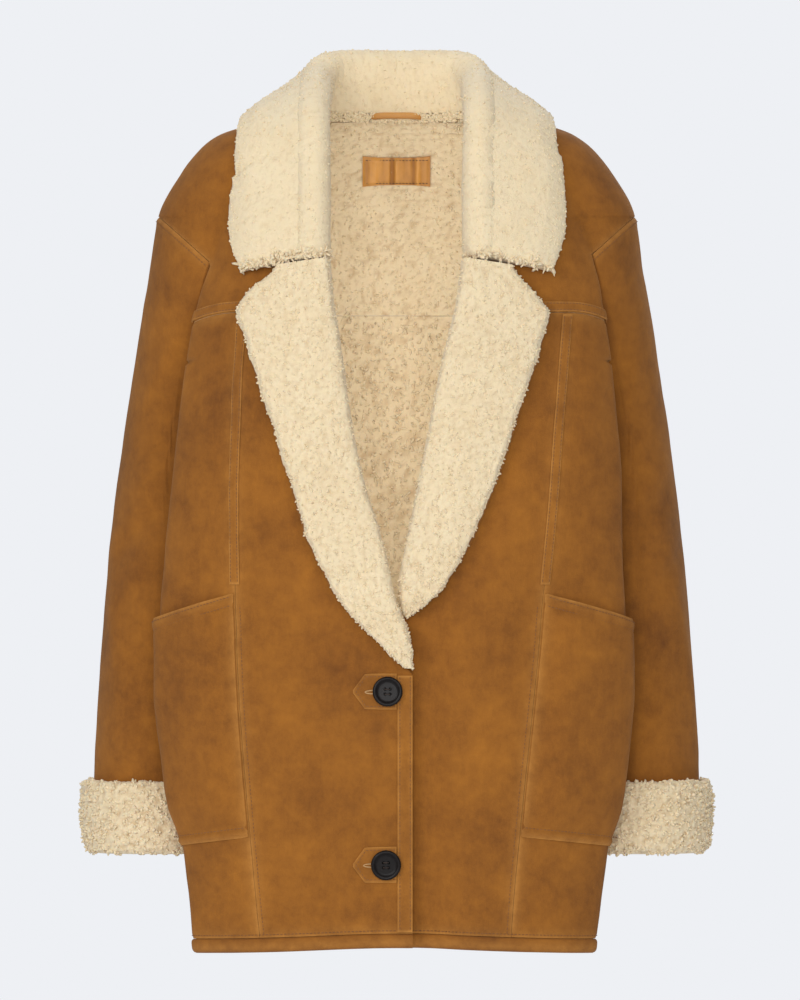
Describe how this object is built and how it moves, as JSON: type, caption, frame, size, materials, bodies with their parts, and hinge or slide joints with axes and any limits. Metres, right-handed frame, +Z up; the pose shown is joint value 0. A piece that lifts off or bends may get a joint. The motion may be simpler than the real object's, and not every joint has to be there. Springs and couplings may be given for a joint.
{
  "type": "shearling coat",
  "caption": "Hip-length shearling coat, suede outside and fleece inside, with a broad folded collar, turned-back cuffs, slanted pockets and an overlapping buttoned front.",
  "frame": {"origin": "between the shoulders on the coat's middle plane, where the yoke rests on whoever or whatever wears it", "axes": "+X to the wearer's left, +Y to the back, +Z up"},
  "size_m": [0.6008, 0.2712, 0.8631],
  "materials": {
    "suede": "napped suede",
    "suede_edge": "rubbed suede",
    "fleece": "curly wool pile",
    "horn": "polished",
    "tan_leather": "smooth"
  },
  "bodies": {
    "root": {"front_right": "suede", "front_left": "suede", "side_front_right": "suede", "side_front_left": "suede", "hem_front_right": "suede", "hem_front_left": "suede", "front_yoke_right": "suede", "front_yoke_left": "suede", "sleeve_right": "suede", "sleeve_left": "suede", "pocket_right": "suede", "pocket_left": "suede", "seam_strip_right": "suede_edge", "seam_strip_left": "suede_edge", "yoke_strip_right": "suede_edge", "yoke_strip_left": "suede_edge", "cuff_right": "fleece", "cuff_left": "fleece", "lapel_right": "fleece", "lapel_left": "fleece", "back": "suede", "hem_back": "suede", "back_yoke": "suede", "edge_band": "suede_edge", "buttonhole_patch_upper": "suede_edge", "buttonhole_patch_lower": "suede_edge", "button_upper": "horn", "button_lower": "horn", "collar": "fleece", "neck_patch": "tan_leather", "hanging_loop": "tan_leather"}
  },
  "joints": []
}
